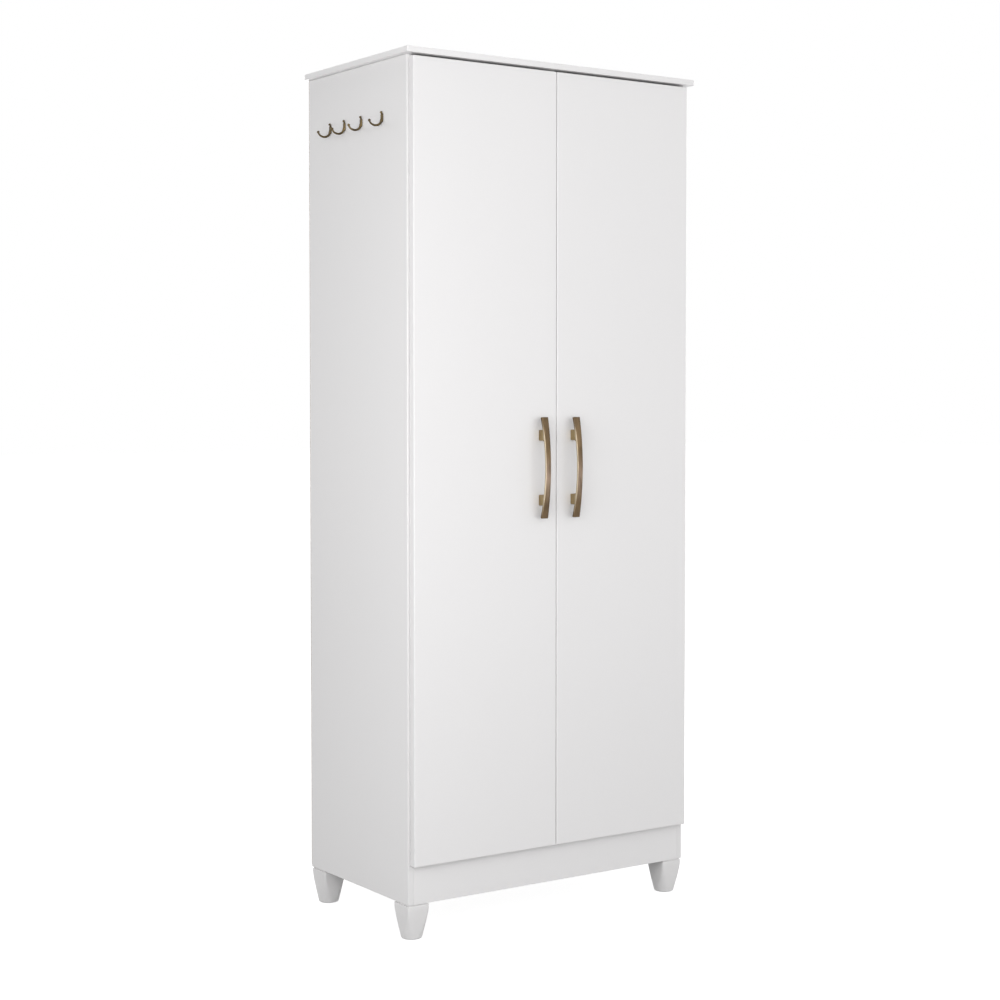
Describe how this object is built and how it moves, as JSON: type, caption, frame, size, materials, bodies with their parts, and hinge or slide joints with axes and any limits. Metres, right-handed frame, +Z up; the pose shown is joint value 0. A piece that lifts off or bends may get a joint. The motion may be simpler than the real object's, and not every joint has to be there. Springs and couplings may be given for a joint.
{
  "type": "broom cupboard",
  "caption": "Tall white two-door cupboard on tapered feet with brass arched handles and a row of small hooks on its left side.",
  "frame": {"origin": "middle of the floor rectangle that holds the whole cupboard, at the level of the soles of the feet", "axes": "+X to the right as seen from the front, +Y from the doors to the back, +Z up"},
  "size_m": [0.7202, 0.4266, 1.7],
  "materials": {
    "white_lacquer": "semi-gloss white lacquer on board",
    "white_board": "satin white melamine on board",
    "back_board": "matt white painted hardboard",
    "foot_plastic": "satin white moulded plastic",
    "antique_brass": "brushed antique brass, dark in the hollows",
    "nickel_steel": "nickel-plated steel"
  },
  "bodies": {
    "carcass": {"left_side_panel": "white_lacquer", "right_side_panel": "white_lacquer", "top_slab": "white_lacquer", "bottom_panel": "white_board", "plinth_front": "white_lacquer", "plinth_rear": "white_board", "centre_divider": "white_board", "back_panel_left": "back_board", "back_panel_right": "back_board", "left_top_shelf": "white_board", "right_shelf_1": "white_board", "right_shelf_2": "white_board", "right_shelf_3": "white_board", "right_shelf_4": "white_board", "foot_front_left": "foot_plastic", "foot_front_right": "foot_plastic", "foot_rear_left": "foot_plastic", "foot_rear_right": "foot_plastic", "side_hook_1": "antique_brass", "side_hook_2": "antique_brass", "side_hook_3": "antique_brass", "side_hook_4": "antique_brass", "left_hinge_plate_1": "nickel_steel", "left_hinge_plate_2": "nickel_steel", "left_hinge_plate_3": "nickel_steel", "left_hinge_arm_1": "nickel_steel", "left_hinge_arm_2": "nickel_steel", "left_hinge_arm_3": "nickel_steel", "right_hinge_plate_1": "nickel_steel", "right_hinge_plate_2": "nickel_steel", "right_hinge_plate_3": "nickel_steel", "right_hinge_arm_1": "nickel_steel", "right_hinge_arm_2": "nickel_steel", "right_hinge_arm_3": "nickel_steel"},
    "left_door": {"left_door": "white_lacquer", "left_handle": "antique_brass", "left_handle_screw_1": "nickel_steel", "left_handle_screw_2": "nickel_steel", "left_hinge_cup_1": "nickel_steel", "left_hinge_cup_2": "nickel_steel", "left_hinge_cup_3": "nickel_steel"},
    "right_door": {"right_door": "white_lacquer", "right_handle": "antique_brass", "right_handle_screw_1": "nickel_steel", "right_handle_screw_2": "nickel_steel", "right_hinge_cup_1": "nickel_steel", "right_hinge_cup_2": "nickel_steel", "right_hinge_cup_3": "nickel_steel"},
    "left_links": {"left_hinge_link_1": "nickel_steel", "left_hinge_link_2": "nickel_steel", "left_hinge_link_3": "nickel_steel"},
    "right_links": {"right_hinge_link_1": "nickel_steel", "right_hinge_link_2": "nickel_steel", "right_hinge_link_3": "nickel_steel"}
  },
  "joints": [
    {"name": "left_door_swing", "type": "hinge", "parent": "carcass", "child": "left_door", "pos_m": [-0.32275, -0.1735, 0.914], "axis": [0, 0, -1], "range_deg": [0, 100]},
    {"name": "right_door_swing", "type": "hinge", "parent": "carcass", "child": "right_door", "pos_m": [0.34305, -0.1735, 0.914], "axis": [0, 0, 1], "range_deg": [0, 100]},
    {"name": "left_link_swing", "type": "hinge", "parent": "carcass", "child": "left_links", "pos_m": [-0.30935, -0.1719, 0.914], "axis": [0, 0, -1], "range_deg": [0, 115]},
    {"name": "right_link_swing", "type": "hinge", "parent": "carcass", "child": "right_links", "pos_m": [0.32965, -0.1719, 0.914], "axis": [0, 0, 1], "range_deg": [0, 115]}
  ],
  "couplings": [
    {"joint": "left_link_swing", "follows": "left_door_swing", "ratio": 1.15},
    {"joint": "right_link_swing", "follows": "right_door_swing", "ratio": 1.15}
  ]
}
